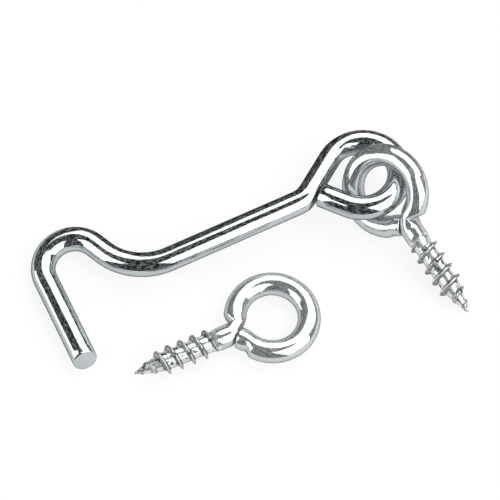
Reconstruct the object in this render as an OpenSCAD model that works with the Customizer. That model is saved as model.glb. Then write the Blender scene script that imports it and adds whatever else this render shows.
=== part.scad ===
// Hook and eye latch of bent wire.
// A hook hangs by its loop in one screw eye, and its bent end drops into a second, loose one.
// Sizes are in millimetres and turns in degrees. All pieces lie on the table at z = 0.

/* [Hook] */
// Diameter of the hook's wire
hook_wire = 4.76; // [4.2:0.02:5.2]
// Inside width of the loop
loop_hole = 10.4; // [9.8:0.1:11.2]
// Turn of the wire where it leaves the shank for the loop
loop_kink = 36; // [32:0.5:42]
// Inside radius of that turn
loop_kink_r = 3.6; // [2:0.1:5]
// Turn of the wire around the loop
loop_turn = 273; // [266:0.5:280]
// Straight length of the shank
shank_len = 26.2; // [20:0.1:60]
// Inside radius of the dip between shank and bend
dip_r = 9.9; // [7:0.1:13]
// Turn of the dip
dip_turn = 64; // [54:0.5:72]
// Straight length between dip and bend
rise_len = 3.1; // [1:0.1:8]
// Inside width of the bend
bend_width = 7; // [6:0.1:10]
// Turn of the bend
bend_turn = 156; // [145:0.5:166]
// Straight length of the tail, with its round end
tail_len = 20.8; // [14:0.1:26]
// Height of the tail's round end
tail_dome = 1.2; // [0.5:0.05:2]

/* [Screw eyes] */
// Diameter of the eyes' wire
eye_wire = 4.4; // [4:0.02:5]
// Inside width of an eye's ring
eye_hole = 9.8; // [9.5:0.1:11.5]
// Inside radius where the wire turns from the neck into the ring
eye_kink_r = 0.6; // [0.4:0.1:1.6]
// Plain length between thread and ring
neck_len = 2.2; // [1:0.1:8]
// Straight length between the neck's turn and the ring
ring_lead = 0.4; // [0.3:0.1:1.5]
// Turn of the wire around the ring, before its straight end
ring_turn = 301; // [296:0.5:306]
// Length of the full thread
thread_len = 11; // [7:0.1:20]
// Length of the tapered point
point_len = 6; // [4:0.1:9]
// Diameter over the thread
thread_d = 5.4; // [5:0.05:6.2]
// Diameter of the core under the thread
core_d = 3.6; // [3:0.05:3.9]
// Rise of the thread in one turn
thread_pitch = 2.54; // [2:0.02:3.2]

/* [Clearances] */
// Gap between a wire's cut end and the wire beside it
end_gap = 0.3; // [0.2:0.05:0.6]
// Height of the loop above the eye's wire where it crosses over it
lift_gap = 0.5; // [0.4:0.05:0.7]
// Room between the wires that sets how far the linked eye leans over
lean_gap = 0.75; // [0.65:0.01:0.9]
// How far the linked eye's wire passes beside the middle of the loop
link_offset = 1.37; // [1.1:0.01:1.6]

/* [Layout on the table] */
// Place of the loop's middle
loop_at = [22.09, 15.17];
// Heading of the hook's shank towards its loop
hook_heading = 24; // [10:0.5:40]
// Direction in which the hook leans down, from its shank towards the outside of its bend
hook_lean_dir = 12; // [8:1:24]
// Direction from the loop's middle to the linked eye's middle
link_heading = -37; // [-39:0.5:-34]
// Heading of the linked eye's screw towards its ring
hinge_heading = 124.5; // [122:0.5:129]
// Place of the loose eye's middle, from the loop's middle
catch_from_loop = [-17.7, -28.2];
// Heading of the loose eye's screw towards its ring
catch_heading = 24.4; // [15:0.1:35]

/* [Hidden] */
$fn = 96;

// how far a straight tucks into a bend, and how much finer it is there
tuck = 0.1;
slip = 0.01;

// radii of the wires and of their middle lines
hook_r = hook_wire / 2;
eye_r = eye_wire / 2;
loop_r = loop_hole / 2 + hook_r;
kink_r = loop_kink_r + hook_r;
dip_mid_r = dip_r + hook_r;
bend_r = bend_width / 2 + hook_r;
ring_r = eye_hole / 2 + eye_r;
neck_turn_r = eye_kink_r + eye_r;

// the lead from the kink runs on until the loop is centred on the shank
lead_len = (loop_r * cos(loop_kink) - kink_r * (1 - cos(loop_kink))) / sin(loop_kink);
loop_x = (kink_r + loop_r) * sin(loop_kink) + lead_len * cos(loop_kink);
// the loop's cut end stops short of the lead
loop_end_len = (loop_r * (1 - cos(loop_turn)) - hook_r * (1 + abs(cos(loop_turn))) - end_gap) / -sin(loop_turn);

// middle of the bend, from the start of the kink
dip_heading = 180 - dip_turn;
bend_x = -shank_len + dip_mid_r * (cos(90 + dip_heading) - cos(270)) + rise_len * cos(dip_heading)
    + bend_r * cos(dip_heading + 90);
bend_y = dip_mid_r * (sin(90 + dip_heading) - sin(270)) + rise_len * sin(dip_heading)
    + bend_r * sin(dip_heading + 90);

// the ring is centred on its screw
kink_far = sqrt(pow(ring_r + neck_turn_r, 2) + pow(ring_lead, 2));
ring_kink = acos(neck_turn_r / kink_far) - atan(ring_lead / (ring_r + neck_turn_r));
kink_to_ring = (ring_r + neck_turn_r) * sin(ring_kink) + ring_lead * cos(ring_kink);
ring_x = neck_len + kink_to_ring;
// the ring's straight end stops short of the outside of the neck's turn
end_heading = ring_kink - ring_turn;
ring_end_len = neck_turn_r * sin(end_heading) - kink_to_ring * cos(end_heading) - neck_turn_r - eye_r - end_gap;

// an eye lies on the table with its ring and with one end of its thread
function ring_drop(lean, roll) = ring_r * sqrt(1 - pow(cos(lean) * cos(roll), 2));
function eye_lean(roll, i = 12) = i == 0 ? 0 : eye_lean_step(roll, eye_lean(roll, i - 1));
function thread_rise(roll, lean) = ring_drop(lean, roll) + eye_r - thread_d / 2 * cos(lean);
function eye_lean_step(roll, lean) =
    asin(thread_rise(roll, lean) / (ring_x + (thread_rise(roll, lean) < 0 ? thread_pitch : thread_len)));

// the linked eye lies face down and leans over until its wire passes under the loop's
hinge_roll = 180 - asin((hook_r + eye_r + lean_gap) / ring_r);
link_reach = ring_r - link_offset;
hinge_at = loop_at + link_reach * [cos(link_heading), sin(link_heading)];
catch_at = loop_at + catch_from_loop;

// the hook lies on its bend, with its loop lifted over the linked eye's wire
loop_z = eye_wire + hook_r + lift_gap;
lean_reach = (loop_x - bend_x) * cos(hook_lean_dir) + bend_y * sin(hook_lean_dir) + bend_r;
hook_lean = asin((loop_z - hook_r) / lean_reach);

// thread: rings of points along the screw, turned by one step from ring to ring
turn_steps = 16;
screw_len = thread_len + point_len + neck_len / 4;
ring_count = round(screw_len / thread_pitch * turn_steps);
ring_step = screw_len / ring_count;
crest_h = (thread_d - core_d) / 2;
function ramp(v) = min(1, max(0, v));
function core_at(z) = core_d / 2 * pow(ramp(z / point_len), 0.8);
function crest_at(z) = crest_h * ramp(z / point_len * 1.3) * ramp((thread_len + point_len - z) / thread_pitch);
function ridge(p) = p < 2 ? 1 : p < 5 ? (5 - p) / 3 : p < 13 ? 0 : (p - 13) / 3;
function thread_r(m, k) = core_at(m * ring_step)
    + crest_at(m * ring_step) * ridge((m - k + turn_steps * ring_count) % turn_steps);
function ring_id(m, k) = 1 + (m - 1) * turn_steps + k % turn_steps;

// a straight length of wire along X, tucked into the bends at its ends, and what follows it
module run(r, len, tuck_in = tuck, tuck_out = tuck) {
    translate([-tuck_in, 0, 0]) rotate([0, 90, 0]) cylinder(r = r - slip, h = len + tuck_in + tuck_out);
    translate([len, 0, 0]) children();
}

// a bend of the wire to the left, and what follows it
module bend_left(r, mid_r, turn) {
    translate([0, mid_r, 0]) rotate([0, 0, -90]) rotate_extrude(angle = turn) translate([mid_r, 0]) circle(r = r);
    translate([0, mid_r, 0]) rotate([0, 0, turn]) translate([0, -mid_r, 0]) children();
}

// a bend of the wire to the right, and what follows it
module bend_right(r, mid_r, turn) {
    translate([0, -mid_r, 0]) rotate([0, 0, 90 - turn]) rotate_extrude(angle = turn) translate([mid_r, 0]) circle(r = r);
    translate([0, -mid_r, 0]) rotate([0, 0, -turn]) translate([0, mid_r, 0]) children();
}

// the tail's straight with its round end
module tail(r, len, h) {
    end_r = r - slip;
    ball_r = (end_r * end_r + h * h) / (2 * h);
    translate([-tuck, 0, 0]) rotate([0, 90, 0]) rotate_extrude() intersection() {
        square([end_r, len + tuck]);
        union() {
            square([end_r, len + tuck - h]);
            translate([0, len + tuck - ball_r]) circle(r = ball_r);
        }
    }
}

// the hook's wire, flat, from the start of the kink
module hook_shape() {
    bend_left(hook_r, kink_r, loop_kink) run(hook_r, lead_len) bend_right(hook_r, loop_r, loop_turn)
        run(hook_r, loop_end_len, tuck_out = 0);
    rotate([0, 0, 180]) run(hook_r, shank_len) bend_right(hook_r, dip_mid_r, dip_turn) run(hook_r, rise_len)
        bend_left(hook_r, bend_r, bend_turn) tail(hook_r, tail_len, tail_dome);
}

// the screw's thread and point, from its tip along Z
module screw_thread() {
    points = concat(
        [[0, 0, 0]],
        [for (m = [1 : ring_count]) for (k = [0 : turn_steps - 1])
            [thread_r(m, k) * cos(k * 360 / turn_steps), thread_r(m, k) * sin(k * 360 / turn_steps), m * ring_step]],
        [[0, 0, screw_len]]);
    last = len(points) - 1;
    faces = concat(
        [for (k = [0 : turn_steps - 1]) [0, ring_id(1, k), ring_id(1, k + 1)]],
        [for (m = [1 : ring_count - 1]) for (k = [0 : turn_steps - 1])
            [ring_id(m, k), ring_id(m + 1, k + 1), ring_id(m, k + 1)]],
        [for (m = [1 : ring_count - 1]) for (k = [0 : turn_steps - 1])
            [ring_id(m, k), ring_id(m + 1, k), ring_id(m + 1, k + 1)]],
        [for (k = [0 : turn_steps - 1]) [last, ring_id(ring_count, k + 1), ring_id(ring_count, k)]]);
    polyhedron(points = points, faces = faces);
}

// an eye's wire, flat, from the start of its neck
module eye_shape() {
    run(eye_r, neck_len, tuck_in = 0) bend_left(eye_r, neck_turn_r, ring_kink) run(eye_r, ring_lead)
        bend_right(eye_r, ring_r, ring_turn) run(eye_r, ring_end_len, tuck_out = 0);
    translate([-thread_len - point_len, 0, 0]) rotate([0, 90, 0]) screw_thread();
}

// puts an eye on the table by the middle of its ring
module eye_placed(at, heading, roll) {
    lean = eye_lean(roll);
    translate([at[0], at[1], ring_drop(lean, roll) + eye_r]) rotate([roll, -lean, heading])
        translate([-ring_x, 0, 0]) eye_shape();
}

// bent wire hook
module hook() {
    color("LightSteelBlue") translate([loop_at[0], loop_at[1], loop_z]) rotate([0, 0, hook_heading])
        rotate(a = hook_lean, v = [-sin(hook_lean_dir), -cos(hook_lean_dir), 0])
        translate([-loop_x, 0, 0]) hook_shape();
}

// screw eye that holds the hook's loop
module hinge_eye() {
    color("Silver") eye_placed(hinge_at, hinge_heading, hinge_roll);
}

// loose screw eye that the hook's bend drops into
module catch_eye() {
    color("LightGray") eye_placed(catch_at, catch_heading, 0);
}

hook();
hinge_eye();
catch_eye();
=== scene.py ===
import math

import bpy
from mathutils import Matrix, Vector


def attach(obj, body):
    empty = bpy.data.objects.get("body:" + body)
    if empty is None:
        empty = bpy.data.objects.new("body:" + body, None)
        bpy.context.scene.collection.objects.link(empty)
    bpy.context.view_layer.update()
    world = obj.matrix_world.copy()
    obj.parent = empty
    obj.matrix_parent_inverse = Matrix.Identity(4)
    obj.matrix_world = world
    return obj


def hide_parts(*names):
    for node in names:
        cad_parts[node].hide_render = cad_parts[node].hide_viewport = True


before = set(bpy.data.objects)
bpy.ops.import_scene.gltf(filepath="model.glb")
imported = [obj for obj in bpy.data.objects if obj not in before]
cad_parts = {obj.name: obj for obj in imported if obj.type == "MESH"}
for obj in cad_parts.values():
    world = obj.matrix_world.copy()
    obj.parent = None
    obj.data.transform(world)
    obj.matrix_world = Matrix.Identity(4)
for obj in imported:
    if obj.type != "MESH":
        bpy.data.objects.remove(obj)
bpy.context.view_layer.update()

# Sizes are in millimetres and angles in degrees. A few sizes differ a little from the solids.
MM = 0.001

# The hook, its bends measured to the middle of the wire
HOOK_WIRE_R = 2.38
LOOP_R = 4.8 + HOOK_WIRE_R
LOOP_TURN = 265.5
LOOP_KINK = 36.0
LOOP_KINK_R = 3.6 + HOOK_WIRE_R
SHANK = 26.9
DIP_R = 9.9 + HOOK_WIRE_R
DIP_TURN = 64.0
RISE = 2.6
BEND_R = 3.5 + HOOK_WIRE_R
BEND_TURN = 156.0
TAIL = 18.9
# The tail's cut leans back by its slant. It has a rounded rim, and its middle stands out a hair.
TAIL_SLANT = 17.0
TAIL_RIM = 0.4
TAIL_CROWN = 0.06
# The lead is the straight wire between the loop and its kink. The loop's cut end presses a flat into it.
LEAD_PINCH = 0.75
LEAD_FLAT_FADE = 5.5

# Sheared ends of wire
# The radius lost at the cut and a step back from it, that step, and the length of the ring's worn edge.
CUT_FACE = 0.22
CUT_SHOULDER = 0.06
CUT_STEP = 0.12
RING_CUT = 0.25
# The gap between a cut end and the wire beside it.
END_GAP = 0.3

# The screw eyes, measured to the middle of the wire
EYE_WIRE_R = 2.2
RING_R = 4.9 + EYE_WIRE_R
RING_TURN = 301.0
RING_LEAD = 0.4
NECK_TURN_R = 0.6 + EYE_WIRE_R
NECK = 2.2
# The thread's matt plating covers this much of the wire from its root.
MATT_NECK = 2.8
# The flat that the ring's end presses into the neck's turn is whole up to a place on the wire, then fades.
PINCH = 1.1
FLAT_TO = 8.5
FLAT_FADE = 4.5
# The crease inside the neck's turn is as from a blade: its tip from the ring's middle, its way in, half
# its angle, and how much it rounds off above and below.
CREASE = (-7.9, 2.1)
CREASE_FROM = 142.0
CREASE_HALF = 40.0
CREASE_ROUND = 0.35
# The ring's end is nipped inwards and thinned, and its outer corner is rounded over.
NIP = 0.5
NIP_FROM_END = 3.6
NIP_REACH = 2.6
NIP_THIN = 0.4
CORNER = 0.3
CORNER_REACH = 0.7
# The tool mark on the ring's end of the loose eye.
DENT = 0.55
DENT_FROM_END = 2.5
DENT_REACH = 1.3

# The thread, its places measured from the tip of its point
CORE_R = 1.8
THREAD_R = 2.7
PITCH = 2.54
THREAD = 11.0
POINT = 6.0
POINT_TAPER = 0.8
# The ridge has a share of its height on the point, then grows to all of it, and runs out at the neck.
FIN_ON_POINT = 0.3
POINT_FIN_REACH = 2.0
FIN_FROM = 4.2
FIN_REACH = 1.3
RUN_OUT = 1.3
# Half of one ridge, from its middle outwards: distance, height from 0 to 1, and its painted shade.
# The painted shade is shade in the ridge's root and dark reflections on the crest's edges.
HALF_RIDGE = (
    (0.06, 1.0, 0.3),
    (0.17, 0.93, 1.0),
    (0.27, 0.6, 0.5),
    (0.31, 0.28, 0.5),
    (0.5, 0.0, 0.9),
    (0.7, 0.0, 0.0),
)
HINGE_THREAD_START = 0.0
CATCH_THREAD_START = -90.0
# The core goes on this far past the end of the thread.
THREAD_TUCK = 0.3
# The wire's root starts inside the thread and swells out of it, each swell with its length and radius.
ROOT_AT = -1.9
ROOT_R = CORE_R - 0.15
ROOT_SWELLS = ((0.5, CORE_R + 0.02), (1.2, EYE_WIRE_R - 0.1), (0.5, EYE_WIRE_R))

# How the three pieces lie on the table
# The hook's loop is lifted over the linked eye's wire, and the hook leans down onto its bend.
LOOP_AT = (22.09, 15.17)
HOOK_HEADING = 24.0
HOOK_LEAN_DIR = 12.0
LIFT_GAP = 0.5
# The linked eye leans over with a gap to the loop's wire, and its ring passes beside the loop's middle.
LEAN_GAP = 0.75
LINK_OFFSET = 1.48
LINK_HEADING = -41.2
HINGE_HEADING = 124.5
# An eye's lean is found by this many rounds of setting it down.
LEAN_ROUNDS = 12
# The loose eye lies flat in front.
CATCH_FROM_LOOP = (-17.7, -28.2)
CATCH_HEADING = 24.4

# Fineness of the meshes
SIDES = 64
BEND_STEP = 3
LEAST_BEND_STEPS = 4
RIM_STEPS = 4
THREAD_STEPS = 72
WIRE_SMOOTH = 35
THREAD_SMOOTH = 42
HAIR = 0.01
SAME_POINT = 0.002
NO_LENGTH = 0.0005

# Plating: how fine each noise is along and across the wire, per millimetre
DRAWING_MARKS = (0.1, 3.0, 3.0)
GRAIN = (1.6, 3.4, 3.4)
CRYSTALS = (1.3, 4.4, 4.4)
SPECKS = (0.8, 1.1, 1.1)
WIRE_PATCHES = (0.16, 0.3, 0.3)
THREAD_PATCHES = (1.0, 1.2, 1.2)
NOISE_ROUGHNESS = 0.6
# The part of each noise that is spread over the whole change it makes.
PATCH_RANGE = (0.35, 0.7)
# The painted shade on the thread's ridges is spread the same way.
PAINTED_SHADE_RANGE = (0.2, 1.0)
SPECK_RANGE = (0.58, 0.62)
GRAIN_RANGE = (0.42, 0.66)
CRYSTAL_RANGE = (0.45, 0.62)
EDGE_TINT = (0.05, 0.06, 0.06, 1)
# The colour of the painted shade on the thread's ridges, and how much of the plating it covers at most.
PAINTED_SHADE_COLOUR = (0.08, 0.09, 0.09)
PAINTED_SHADE_COVER = 0.85
SPECK_COLOUR = (0.04, 0.05, 0.05)
DRAWING_DEPTH = 0.2
BUMP_HEIGHT = 0.06
# Sockets of a Mix node set to colours, which share their names with sockets of other kinds.
MIX_FACTOR = 0
MIX_FIRST = 6
MIX_SECOND = 7
MIX_COLOUR = 2

# The table, the lights and the camera
TABLE_SIZE = 3000
PAPER_COLOUR = (0.9, 0.9, 0.9, 1)
PAPER_GLOW = 0.85
STUDIO_COLOUR = (0.02, 0.0225, 0.023, 1)
FELT_COLOUR = (0.006, 0.007, 0.007, 1)
CAMERA_AIM = (0.16, 2.41, 0)
CAMERA_ELEVATION = 64.4
CAMERA_AWAY = 400
CAMERA_LENS = 147.5
CAMERA_SENSOR = 36.0


def sin(a):
    return math.sin(math.radians(a))


def cos(a):
    return math.cos(math.radians(a))


def pointing(heading):
    return Vector((cos(heading), sin(heading), 0))


def ramp(v):
    return min(1.0, max(0.0, v))


def ease(v):
    """Turns a straight rise from 0 to 1 into one with soft ends."""
    return v * v * (3 - 2 * v)


# Finishes


def node(tree, kind, **inputs):
    n = tree.nodes.new(kind)
    for key, value in inputs.items():
        n.inputs[key.replace("_", " ")].default_value = value
    return n


def zinc_plate(name, colour, shade, patches, rough, frost, grain_depth, specks=0.0):
    """Bright zinc on drawn wire: drawing marks along it, matt crystals among bright ones, faint patches."""
    mat = bpy.data.materials.new(name)
    mat.use_nodes = True
    t = mat.node_tree
    link = t.links.new
    bsdf = t.nodes["Principled BSDF"]
    bsdf.inputs["Specular Tint"].default_value = EDGE_TINT
    along = t.nodes.new("ShaderNodeAttribute")
    along.attribute_name = "straight"
    painted_shade_attr = t.nodes.new("ShaderNodeAttribute")
    painted_shade_attr.attribute_name = "painted_ridge_shade"

    def noise(scale, detail):
        """Noise in the wire's own straight coordinates, in millimetres."""
        stretch = node(t, "ShaderNodeMapping", Scale=scale)
        link(along.outputs["Vector"], stretch.inputs["Vector"])
        made = node(t, "ShaderNodeTexNoise", Scale=1.0, Detail=detail, Roughness=NOISE_ROUGHNESS)
        link(stretch.outputs["Vector"], made.inputs["Vector"])
        return made.outputs["Fac"]

    def spread(value, reach, to_low, to_high):
        """Spreads a part of a value's range between two new ends."""
        low, high = reach
        made = node(t, "ShaderNodeMapRange", From_Min=low, From_Max=high, To_Min=to_low, To_Max=to_high)
        link(value, made.inputs["Value"])
        return made.outputs["Result"]

    def blend(factor, first, second):
        """Mixes two colours, the first a colour or a socket."""
        made = t.nodes.new("ShaderNodeMix")
        made.data_type = "RGBA"
        link(factor, made.inputs[MIX_FACTOR])
        if isinstance(first, tuple):
            made.inputs[MIX_FIRST].default_value = (*first, 1)
        else:
            link(first, made.inputs[MIX_FIRST])
        made.inputs[MIX_SECOND].default_value = (*second, 1)
        return made.outputs[MIX_COLOUR]

    def bump(height, strength):
        made = node(t, "ShaderNodeBump", Strength=strength, Distance=BUMP_HEIGHT * MM)
        link(height, made.inputs["Height"])
        return made

    grain = noise(GRAIN, detail=3.0)
    tint = blend(spread(noise(patches, detail=3.0), PATCH_RANGE, 0.0, 1.0), colour, shade)
    # Painted shade from the thread's ridge: darker in its roots and along the edges of its crests.
    tint = blend(spread(painted_shade_attr.outputs["Fac"], PAINTED_SHADE_RANGE, 0.0, PAINTED_SHADE_COVER), tint, PAINTED_SHADE_COLOUR)
    if specks:
        tint = blend(spread(noise(SPECKS, detail=2.0), SPECK_RANGE, 0.0, specks), tint, SPECK_COLOUR)
    shine = spread(noise(CRYSTALS, detail=2.0), CRYSTAL_RANGE, 1 - frost[0], 1 - frost[1])
    link(tint, bsdf.inputs["Base Color"])
    link(spread(grain, GRAIN_RANGE, rough[0], rough[1]), bsdf.inputs["Roughness"])
    link(shine, bsdf.inputs["Metallic"])

    lines = bump(noise(DRAWING_MARKS, detail=4.0), DRAWING_DEPTH)
    dents = bump(grain, grain_depth)
    link(lines.outputs["Normal"], dents.inputs["Normal"])
    link(dents.outputs["Normal"], bsdf.inputs["Normal"])
    return mat


bright_zinc = zinc_plate(
    "bright_zinc",
    colour=(0.55, 0.585, 0.59),
    shade=(0.48, 0.52, 0.53),
    patches=WIRE_PATCHES,
    rough=(0.03, 0.09),
    frost=(0.0, 0.26),
    grain_depth=0.12,
)
eye_zinc = zinc_plate(
    "eye_zinc",
    colour=(0.6, 0.63, 0.635),
    shade=(0.52, 0.55, 0.56),
    patches=WIRE_PATCHES,
    rough=(0.05, 0.12),
    frost=(0.2, 0.42),
    grain_depth=0.12,
)
thread_zinc = zinc_plate(
    "thread_zinc",
    colour=(0.84, 0.85, 0.85),
    shade=(0.56, 0.58, 0.585),
    patches=THREAD_PATCHES,
    rough=(0.1, 0.26),
    frost=(0.3, 0.55),
    grain_depth=0.4,
    specks=0.9,
)


# Bending wire


class Wire:
    """One length of round wire, drawn out flat from a ring of points and bent as it goes."""

    def __init__(self, name, at, heading, radius):
        bpy.ops.object.select_all(action="DESELECT")
        bpy.ops.mesh.primitive_circle_add(
            vertices=SIDES,
            radius=radius,
            fill_type="NOTHING",
            location=(at[0], at[1], 0),
            rotation=(0, math.pi / 2, math.radians(heading)),
        )
        self.obj = bpy.context.object
        self.obj.name = name
        bpy.ops.object.transform_apply(location=True, rotation=True, scale=True)
        self.at = Vector((at[0], at[1], 0))
        self.heading = heading
        self.radius = radius
        self.gone = 0.0
        # Each ring's distance along the wire and its radius.
        self.rings = [(0.0, radius)]
        # Each point's place round a wire of radius 1, to the left and upward.
        left = pointing(heading + 90)
        points = [v.co for v in self.obj.data.vertices]
        self.around = [((p - self.at).dot(left) / radius, p.z / radius) for p in points]
        bpy.ops.object.mode_set(mode="EDIT")
        bpy.ops.mesh.select_all(action="SELECT")

    def run(self, length, steps=1):
        """Draws the wire straight on."""
        step = pointing(self.heading) * (length / steps)
        for _ in range(steps):
            bpy.ops.mesh.extrude_region_move(TRANSFORM_OT_translate={"value": step})
            self.at += step
            self.gone += length / steps
            self.rings.append((self.gone, self.radius))

    def swell(self, length, radius):
        """Runs on while the wire grows or shrinks to another radius."""
        self.run(length)
        k = radius / self.radius
        bpy.ops.transform.resize(value=(k, k, k), center_override=self.at)
        self.radius = radius
        self.rings[-1] = (self.gone, radius)

    def bend(self, mid_radius, turn):
        """Bends the wire, to the left for a positive turn."""
        side = 1 if turn > 0 else -1
        centre = self.at + pointing(self.heading + 90) * mid_radius * side
        steps = max(LEAST_BEND_STEPS, round(abs(turn) / BEND_STEP))
        bpy.ops.mesh.spin(steps=steps, angle=-math.radians(turn), center=centre, axis=(0, 0, 1))
        start = self.gone
        arc = math.radians(abs(turn)) * mid_radius
        for i in range(1, steps + 1):
            self.gone = start + arc * i / steps
            self.rings.append((self.gone, self.radius))
        self.heading += turn
        self.at = centre + pointing(self.heading - 90) * mid_radius * side

    def round_off(self, rim):
        """Ends the wire in a flat cut with a rounded rim."""
        start = self.radius
        done = 0.0
        for i in range(1, RIM_STEPS + 1):
            reach = rim * sin(90 * i / RIM_STEPS)
            self.swell(reach - done, start - rim * (1 - cos(90 * i / RIM_STEPS)))
            done = reach
        self.swell(TAIL_CROWN, start / 2)

    def finish(self):
        """Closes both ends and writes down where each point lies on the wire before bending."""
        bpy.ops.mesh.edge_face_add()
        bpy.ops.mesh.select_all(action="DESELECT")
        bpy.ops.object.mode_set(mode="OBJECT")
        mesh = self.obj.data
        for v in mesh.vertices[:SIDES]:
            v.select = True
        bpy.ops.object.mode_set(mode="EDIT")
        bpy.ops.mesh.select_mode(type="VERT")
        bpy.ops.mesh.edge_face_add()
        bpy.ops.mesh.select_all(action="SELECT")
        bpy.ops.mesh.normals_make_consistent(inside=False)
        bpy.ops.object.mode_set(mode="OBJECT")
        straight = mesh.attributes.new("straight", "FLOAT_VECTOR", "POINT")
        for i, (gone, r) in enumerate(self.rings):
            for k, (a, b) in enumerate(self.around):
                straight.data[i * SIDES + k].vector = (gone, a * r, b * r)
        return self.obj


def pick(obj):
    """Selects one piece alone."""
    bpy.ops.object.select_all(action="DESELECT")
    bpy.context.view_layer.objects.active = obj
    obj.select_set(True)


def smooth(obj, angle):
    pick(obj)
    bpy.ops.object.shade_smooth_by_angle(angle=math.radians(angle))


def place(obj, matrix):
    """Puts a flat piece where it lies on the table, in metres."""
    obj.data.transform(Matrix.Scale(MM, 4) @ matrix)
    obj.data.update()


# The hook, drawn with its shank along X and the kink's end of the shank at the origin

lead = (LOOP_R * cos(LOOP_KINK) - LOOP_KINK_R * (1 - cos(LOOP_KINK))) / sin(LOOP_KINK)
loop_x = (LOOP_KINK_R + LOOP_R) * sin(LOOP_KINK) + lead * cos(LOOP_KINK)
loop_end_room = LOOP_R * (1 - cos(LOOP_TURN)) - HOOK_WIRE_R * (1 + abs(cos(LOOP_TURN)))
loop_end = (loop_end_room + LEAD_PINCH - END_GAP) / -sin(LOOP_TURN)
loop_end_heading = LOOP_KINK - LOOP_TURN
loop_end_at = (
    Vector((loop_x, 0, 0))
    + pointing(loop_end_heading + 90) * LOOP_R
    + pointing(loop_end_heading) * loop_end
)

bend_heading = 180 - DIP_TURN
bend_middle = (
    Vector((-SHANK, DIP_R, 0))
    + pointing(bend_heading + 90) * (DIP_R + BEND_R)
    + pointing(bend_heading) * RISE
)
loop_z = 2 * EYE_WIRE_R + HOOK_WIRE_R + LIFT_GAP
lean_reach = (loop_x - bend_middle.x) * cos(HOOK_LEAN_DIR) + bend_middle.y * sin(HOOK_LEAN_DIR) + BEND_R
hook_lean = math.asin((loop_z - HOOK_WIRE_R) / lean_reach)
hook_place = (
    Matrix.Translation((LOOP_AT[0], LOOP_AT[1], loop_z))
    @ Matrix.Rotation(math.radians(HOOK_HEADING), 4, "Z")
    @ Matrix.Rotation(hook_lean, 4, Vector((-sin(HOOK_LEAN_DIR), -cos(HOOK_LEAN_DIR), 0)))
    @ Matrix.Translation((-loop_x, 0, 0))
)


def slant_tail(hook, ahead, uncut):
    """Leans the cut at the tail's end back, so that it faces a little upward."""
    on_wire = hook.data.attributes["straight"].data
    for v in hook.data.vertices:
        if on_wire[v.index].vector.x > uncut:
            v.co -= ahead * v.co.z * math.tan(math.radians(TAIL_SLANT))
    hook.data.update()


def press_lead(hook):
    """Presses a flat into the inner side of the lead, where the cut end of the loop meets it."""
    inward = pointing(LOOP_KINK - 90)
    lead_at = Vector((LOOP_KINK_R * sin(LOOP_KINK), LOOP_KINK_R * (1 - cos(LOOP_KINK)), 0))
    lead_from = loop_end + LOOP_R * math.radians(LOOP_TURN)
    kink_to = lead_from + lead + LOOP_KINK_R * math.radians(LOOP_KINK)
    on_wire = hook.data.attributes["straight"].data
    for v in hook.data.vertices:
        gone = on_wire[v.index].vector.x
        over = inward.dot(v.co - lead_at) - HOOK_WIRE_R + LEAD_PINCH
        if over > 0 and lead_from - LEAD_FLAT_FADE < gone < kink_to:
            v.co -= inward * over * ramp((gone - lead_from) / LEAD_FLAT_FADE + 1)
    hook.data.update()


def bend_hook():
    """The hook from the cut end of its loop to the tail."""
    wire = Wire("hook_wire", loop_end_at, loop_end_heading + 180, HOOK_WIRE_R - CUT_FACE)
    wire.swell(CUT_STEP, HOOK_WIRE_R - CUT_SHOULDER)
    wire.swell(CUT_STEP, HOOK_WIRE_R)
    wire.run(loop_end - 2 * CUT_STEP, steps=2)
    wire.bend(LOOP_R, LOOP_TURN)
    wire.run(lead, steps=4)
    wire.bend(LOOP_KINK_R, -LOOP_KINK)
    wire.run(SHANK, steps=12)
    wire.bend(DIP_R, -DIP_TURN)
    wire.run(RISE, steps=2)
    wire.bend(BEND_R, BEND_TURN)
    wire.run(TAIL - TAIL_RIM, steps=10)
    uncut = wire.gone - HAIR
    wire.round_off(TAIL_RIM)
    hook = wire.finish()
    slant_tail(hook, pointing(wire.heading), uncut)
    press_lead(hook)
    place(hook, hook_place)
    smooth(hook, WIRE_SMOOTH)
    hook.data.materials.append(bright_zinc)
    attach(hook, "hook")
    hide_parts("hook")


# The screw eyes, drawn with the screw along X and the end of the thread at the origin

kink_reach = RING_R + NECK_TURN_R
kink_slope = math.degrees(math.atan(RING_LEAD / kink_reach))
ring_kink = math.degrees(math.acos(NECK_TURN_R / math.hypot(kink_reach, RING_LEAD))) - kink_slope
kink_to_ring = kink_reach * sin(ring_kink) + RING_LEAD * cos(ring_kink)
ring_x = NECK + kink_to_ring
ring_end_heading = ring_kink - RING_TURN
ring_end = (
    NECK_TURN_R * sin(ring_end_heading)
    - kink_to_ring * cos(ring_end_heading)
    - NECK_TURN_R
    - EYE_WIRE_R
    - END_GAP
    + PINCH
)
ring_end_side = pointing(ring_end_heading + 90)


def ring_drop(lean, roll):
    """How far the middle of the ring's wire reaches below the ring's own middle."""
    return RING_R * math.sqrt(1 - (cos(lean) * cos(roll)) ** 2)


def eye_lean(roll):
    """The lean at which an eye rests on its ring and on one end of its thread."""
    lean = 0.0
    for _ in range(LEAN_ROUNDS):
        rise = ring_drop(lean, roll) + EYE_WIRE_R - THREAD_R * cos(lean)
        lean = math.degrees(math.asin(rise / (ring_x + (PITCH if rise < 0 else THREAD))))
    return lean


def eye_place(at, heading, roll):
    """Where an eye lies, from its ring's middle, the way its ring points and its roll about the screw."""
    lean = eye_lean(roll)
    return (
        Matrix.Translation((at[0], at[1], ring_drop(lean, roll) + EYE_WIRE_R))
        @ Matrix.Rotation(math.radians(heading), 4, "Z")
        @ Matrix.Rotation(math.radians(-lean), 4, "Y")
        @ Matrix.Rotation(math.radians(roll), 4, "X")
        @ Matrix.Translation((-ring_x, 0, 0))
    )


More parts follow.
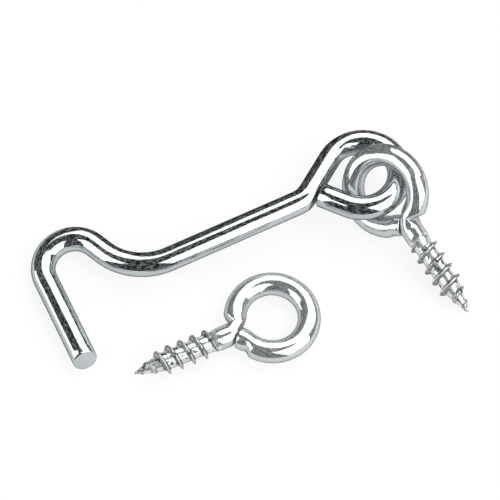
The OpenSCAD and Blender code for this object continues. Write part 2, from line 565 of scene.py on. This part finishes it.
def thread_profile():
    """Points up the side of the thread: place along the screw, height from 0 to 1, and its painted shade."""
    near_half = [(-out, high, dark) for out, high, dark in reversed(HALF_RIDGE)]
    ridge = [*near_half, *HALF_RIDGE, (PITCH / 2, 0.0, 0.0)]
    ridges = math.ceil((THREAD + POINT) / PITCH) + 1
    profile = [(-PITCH, 0.0, 0.0)]
    for i in range(-1, ridges):
        for out, high, dark in ridge:
            profile.append((i * PITCH + PITCH / 2 + out, high, dark))
    return profile


def thread_radius(z, high):
    """The radius at a place along the screw and at a height on the ridge."""
    core = CORE_R * ramp(z / POINT) ** POINT_TAPER
    on_point = FIN_ON_POINT * ramp(z / POINT_FIN_REACH)
    grown = on_point + (1 - FIN_ON_POINT) * ramp((z - FIN_FROM) / FIN_REACH)
    fin = (THREAD_R - CORE_R) * grown * ramp((THREAD + POINT - z) / RUN_OUT)
    return core + fin * high


def cut_thread():
    """The wood-screw thread: one long profile turned once about the screw while it climbs one pitch."""
    profile = thread_profile()
    bpy.ops.object.select_all(action="DESELECT")
    bpy.ops.mesh.primitive_plane_add(size=0.2, location=(1, 0, 0))
    thread = bpy.context.object
    thread.name = "screw_thread"
    bpy.ops.object.transform_apply(location=True, rotation=True, scale=True)
    bpy.ops.object.mode_set(mode="EDIT")
    bpy.ops.mesh.select_all(action="SELECT")
    bpy.ops.mesh.merge(type="CENTER")
    bpy.ops.transform.translate(value=(0, 0, profile[0][0]))
    for (z0, high0, _), (z1, high1, _) in zip(profile, profile[1:]):
        bpy.ops.mesh.extrude_region_move(TRANSFORM_OT_translate={"value": (high1 - high0, 0, z1 - z0)})
    bpy.ops.object.mode_set(mode="OBJECT")
    bpy.ops.object.modifier_add(type="SCREW")
    turned = thread.modifiers[-1]
    turned.axis = "Z"
    turned.angle = 2 * math.pi
    turned.screw_offset = PITCH
    turned.steps = turned.render_steps = THREAD_STEPS
    turned.use_merge_vertices = False
    bpy.ops.object.modifier_apply(modifier=turned.name)
    # Each point now holds its height on the ridge as its distance beyond 1 from the axis.
    end = THREAD + POINT + THREAD_TUCK
    # Each point takes its painted shade from the profile: shade in the roots, dark reflections on the
    # crest's edges.
    painted_ridge_shade = thread.data.attributes.new("painted_ridge_shade", "FLOAT", "POINT")
    for v in thread.data.vertices:
        painted_ridge_shade.data[v.index].value = profile[v.index % len(profile)][2]
        x, y, z = v.co
        around = math.atan2(y, x)
        z = min(end, max(0.0, z))
        r = thread_radius(z, math.hypot(x, y) - 1)
        v.co = (r * math.cos(around), r * math.sin(around), z)
    bpy.ops.object.mode_set(mode="EDIT")
    bpy.ops.mesh.select_all(action="SELECT")
    bpy.ops.mesh.remove_doubles(threshold=SAME_POINT)
    bpy.ops.mesh.dissolve_degenerate(threshold=NO_LENGTH)
    bpy.ops.mesh.select_all(action="SELECT")
    bpy.ops.mesh.fill_holes(sides=0)
    bpy.ops.mesh.select_all(action="SELECT")
    bpy.ops.mesh.normals_make_consistent(inside=False)
    bpy.ops.object.mode_set(mode="OBJECT")
    along_x = Matrix.Rotation(math.pi / 2, 4, "Y")
    thread.data.transform(Matrix.Translation((-THREAD - POINT, 0, 0)) @ along_x)
    straight = thread.data.attributes.new("straight", "FLOAT_VECTOR", "POINT")
    for v in thread.data.vertices:
        straight.data[v.index].vector = v.co
    thread.data.materials.append(thread_zinc)
    smooth(thread, THREAD_SMOOTH)
    return thread


def pinch_neck(eye, whole):
    """Flattens the outside of the neck's turn for the ring's end, creases its inside and nips the end."""
    outward = pointing(ring_end_heading + 180)
    turn_middle = Vector((NECK, NECK_TURN_R, 0))
    flat_at = NECK_TURN_R + EYE_WIRE_R - PINCH
    crease = Vector((ring_x + CREASE[0], CREASE[1], 0))
    blade = pointing(CREASE_FROM)
    across = pointing(CREASE_FROM + 90)
    on_wire = eye.data.attributes["straight"].data
    for v in eye.data.vertices:
        gone, left, _ = on_wire[v.index].vector
        in_neck = gone < whole / 3
        if in_neck:
            over = outward.dot(v.co - turn_middle) - flat_at
            if over > 0:
                v.co -= outward * over * (1 - ramp((gone - FLAT_TO) / FLAT_FADE))
            deep = blade.dot(v.co - crease)
            side = across.dot(v.co - crease)
            away = EYE_WIRE_R - math.sqrt(max(0.0, EYE_WIRE_R**2 - v.co.z**2))
            rounding = CREASE_ROUND * away / sin(CREASE_HALF)
            edge = abs(side) / math.tan(math.radians(CREASE_HALF)) - rounding
            if deep > edge:
                v.co -= blade * (deep - edge)
        else:
            proud = max(0.0, left / EYE_WIRE_R)
            bent = NIP * ease(ramp((gone - whole + NIP_FROM_END) / NIP_REACH)) * (1 + NIP_THIN * proud)
            corner = CORNER * ramp((gone - whole + CORNER_REACH) / CORNER_REACH) ** 2 * proud
            v.co -= ring_end_side * (bent + corner)
    eye.data.update()


def dent_end(eye, depth):
    """Presses a tool mark into the outer side of the ring's end."""
    on_wire = eye.data.attributes["straight"].data
    whole = max(point.vector.x for point in on_wire)
    for v in eye.data.vertices:
        gone, left, _ = on_wire[v.index].vector
        near = (whole - gone - DENT_FROM_END) / DENT_REACH
        if abs(near) < 1:
            proud = max(0.0, left / EYE_WIRE_R)
            v.co -= ring_end_side * depth * cos(90 * near) ** 2 * proud
    eye.data.update()


def bend_eye():
    """The wire of a screw eye, flat: its neck, its turn into the ring and the ring with its straight end."""
    wire = Wire("screw_eye", (ROOT_AT, 0), 0.0, ROOT_R)
    for length, radius in ROOT_SWELLS:
        wire.swell(length, radius)
    wire.run(NECK - ROOT_AT - wire.gone, steps=2)
    wire.bend(NECK_TURN_R, ring_kink)
    wire.run(RING_LEAD)
    wire.bend(RING_R, -RING_TURN)
    wire.run(ring_end - RING_CUT, steps=12)
    wire.swell(CUT_STEP, EYE_WIRE_R - CUT_SHOULDER)
    wire.swell(RING_CUT - CUT_STEP, EYE_WIRE_R - CUT_FACE)
    eye = wire.finish()
    pinch_neck(eye, wire.gone)
    eye.data.materials.append(eye_zinc)
    eye.data.materials.append(thread_zinc)
    on_wire = eye.data.attributes["straight"].data
    for face in eye.data.polygons:
        if all(on_wire[v].vector.x < MATT_NECK for v in face.vertices):
            face.material_index = 1
    smooth(eye, WIRE_SMOOTH)
    return eye


def copy_of(piece):
    """Copies a piece with its own mesh, and leaves the copy selected."""
    pick(piece)
    bpy.ops.object.duplicate(linked=False)
    return bpy.context.object


def set_eye(name, bare_eye, bare_thread, lie, thread_start, dent):
    """Copies the bent wire and the thread, turns the thread to its start and lays the eye on the table."""
    thread = copy_of(bare_thread)
    thread.data.transform(Matrix.Rotation(math.radians(thread_start), 4, "X"))
    eye = copy_of(bare_eye)
    eye.name = name + "_wire"
    dent_end(eye, dent)
    thread.select_set(True)
    bpy.ops.object.join()
    place(eye, lie)
    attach(eye, name)
    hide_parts(name)


bend_hook()

plain_eye = bend_eye()
plain_thread = cut_thread()
loop_at = Vector((*LOOP_AT, 0))
hinge_at = loop_at + pointing(LINK_HEADING) * (RING_R - LINK_OFFSET)
hinge_roll = 180 - math.degrees(math.asin((HOOK_WIRE_R + EYE_WIRE_R + LEAN_GAP) / RING_R))
hinge_place = eye_place(hinge_at, HINGE_HEADING, hinge_roll)
catch_place = eye_place(loop_at + Vector((*CATCH_FROM_LOOP, 0)), CATCH_HEADING, roll=0)
set_eye("hinge_eye", plain_eye, plain_thread, hinge_place, HINGE_THREAD_START, dent=0)
set_eye("catch_eye", plain_eye, plain_thread, catch_place, CATCH_THREAD_START, dent=DENT)
bpy.data.objects.remove(plain_eye)
bpy.data.objects.remove(plain_thread)


# The table, the lights and the camera


def white_paper():
    """Paper that takes a soft shadow, and is nearly pure white to the camera and in the metal."""
    mat = bpy.data.materials.new("white_paper")
    mat.use_nodes = True
    t = mat.node_tree
    t.nodes.clear()
    link = t.links.new
    out = t.nodes.new("ShaderNodeOutputMaterial")
    matte = node(t, "ShaderNodeBsdfDiffuse", Color=PAPER_COLOUR)
    white = node(t, "ShaderNodeEmission", Color=(1, 1, 1, 1), Strength=1.0)
    seen = t.nodes.new("ShaderNodeLightPath")
    mix = t.nodes.new("ShaderNodeMixShader")

    def work_out(operation, first):
        made = t.nodes.new("ShaderNodeMath")
        made.operation = operation
        link(first, made.inputs[0])
        return made

    looked_at = work_out("MAXIMUM", seen.outputs["Is Camera Ray"])
    link(seen.outputs["Is Glossy Ray"], looked_at.inputs[1])
    looked_through = work_out("MAXIMUM", looked_at.outputs[0])
    link(seen.outputs["Is Transmission Ray"], looked_through.inputs[1])
    share = work_out("MULTIPLY", looked_through.outputs[0])
    share.inputs[1].default_value = PAPER_GLOW
    link(share.outputs[0], mix.inputs[0])
    link(matte.outputs[0], mix.inputs[1])
    link(white.outputs[0], mix.inputs[2])
    link(mix.outputs[0], out.inputs["Surface"])
    return mat


def black_felt():
    """Felt with no shine at all."""
    mat = bpy.data.materials.new("black_felt")
    mat.use_nodes = True
    bsdf = mat.node_tree.nodes["Principled BSDF"]
    bsdf.inputs["Base Color"].default_value = FELT_COLOUR
    bsdf.inputs["Roughness"].default_value = 1.0
    bsdf.inputs["Specular IOR Level"].default_value = 0.0
    return mat


def softbox(name, azimuth, elevation, wide, high, glow):
    """A square-cornered soft light a metre away. Azimuth 0 is behind the latch and 90 is on its right."""
    away = Vector((sin(azimuth) * cos(elevation), cos(azimuth) * cos(elevation), sin(elevation)))
    bpy.ops.object.light_add(type="AREA", location=away)
    lamp = bpy.context.object
    lamp.name = name
    lamp.data.shape = "RECTANGLE"
    lamp.data.size = 2 * math.tan(math.radians(wide / 2))
    lamp.data.size_y = 2 * math.tan(math.radians(high / 2))
    lamp.data.energy = glow * math.pi * lamp.data.size * lamp.data.size_y
    lamp.rotation_euler = (-away).to_track_quat("-Z", "Y").to_euler()
    lamp.visible_camera = False


def flag(name, finish, middle, wide, high, turned):
    """A black card that only the metal sees. It lies flat before it is turned."""
    bpy.ops.object.select_all(action="DESELECT")
    bpy.ops.mesh.primitive_plane_add(
        size=1.0,
        location=Vector(middle) * MM,
        rotation=[math.radians(a) for a in turned],
    )
    card = bpy.context.object
    card.name = name
    card.scale = (wide * MM, high * MM, 1)
    card.visible_camera = False
    card.visible_shadow = False
    card.visible_diffuse = False
    card.data.materials.append(finish)


bpy.ops.object.select_all(action="DESELECT")
bpy.ops.mesh.primitive_plane_add(size=TABLE_SIZE * MM, location=(0, 0, 0))
table = bpy.context.object
table.name = "table"
table.data.materials.append(white_paper())

world = bpy.data.worlds.new("studio")
bpy.context.scene.world = world
world.use_nodes = True
world.node_tree.nodes["Background"].inputs["Color"].default_value = STUDIO_COLOUR
world.node_tree.nodes["Background"].inputs["Strength"].default_value = 1.0

softbox("back_softbox", azimuth=35, elevation=50.5, wide=75, high=52, glow=2.5)
softbox("right_softbox", azimuth=128.5, elevation=37.5, wide=51, high=65, glow=2.5)
softbox("left_softbox", azimuth=-111.5, elevation=31, wide=33, high=53, glow=2.5)
softbox("left_low_softbox", azimuth=-91, elevation=11, wide=28, high=21, glow=2.2)

felt = black_felt()
flag("far_flag", felt, middle=(50, 900, 55), wide=1500, high=110, turned=(90, 0, 0))
flag("far_table_flag", felt, middle=(50, 475, 0.3), wide=1500, high=850, turned=(0, 0, 0))
flag("shank_flag", felt, middle=(-12.5, 31, 0.6), wide=62, high=36, turned=(0, 0, HOOK_HEADING))

bpy.ops.object.camera_add()
camera = bpy.context.object
aim = Vector(CAMERA_AIM) * MM
back = Vector((0, -cos(CAMERA_ELEVATION), sin(CAMERA_ELEVATION)))
camera.location = aim + back * CAMERA_AWAY * MM
camera.rotation_euler = (aim - camera.location).to_track_quat("-Z", "Y").to_euler()
camera.data.lens = CAMERA_LENS
camera.data.sensor_width = CAMERA_SENSOR
bpy.context.scene.camera = camera
bpy.context.scene.view_settings.view_transform = "Standard"
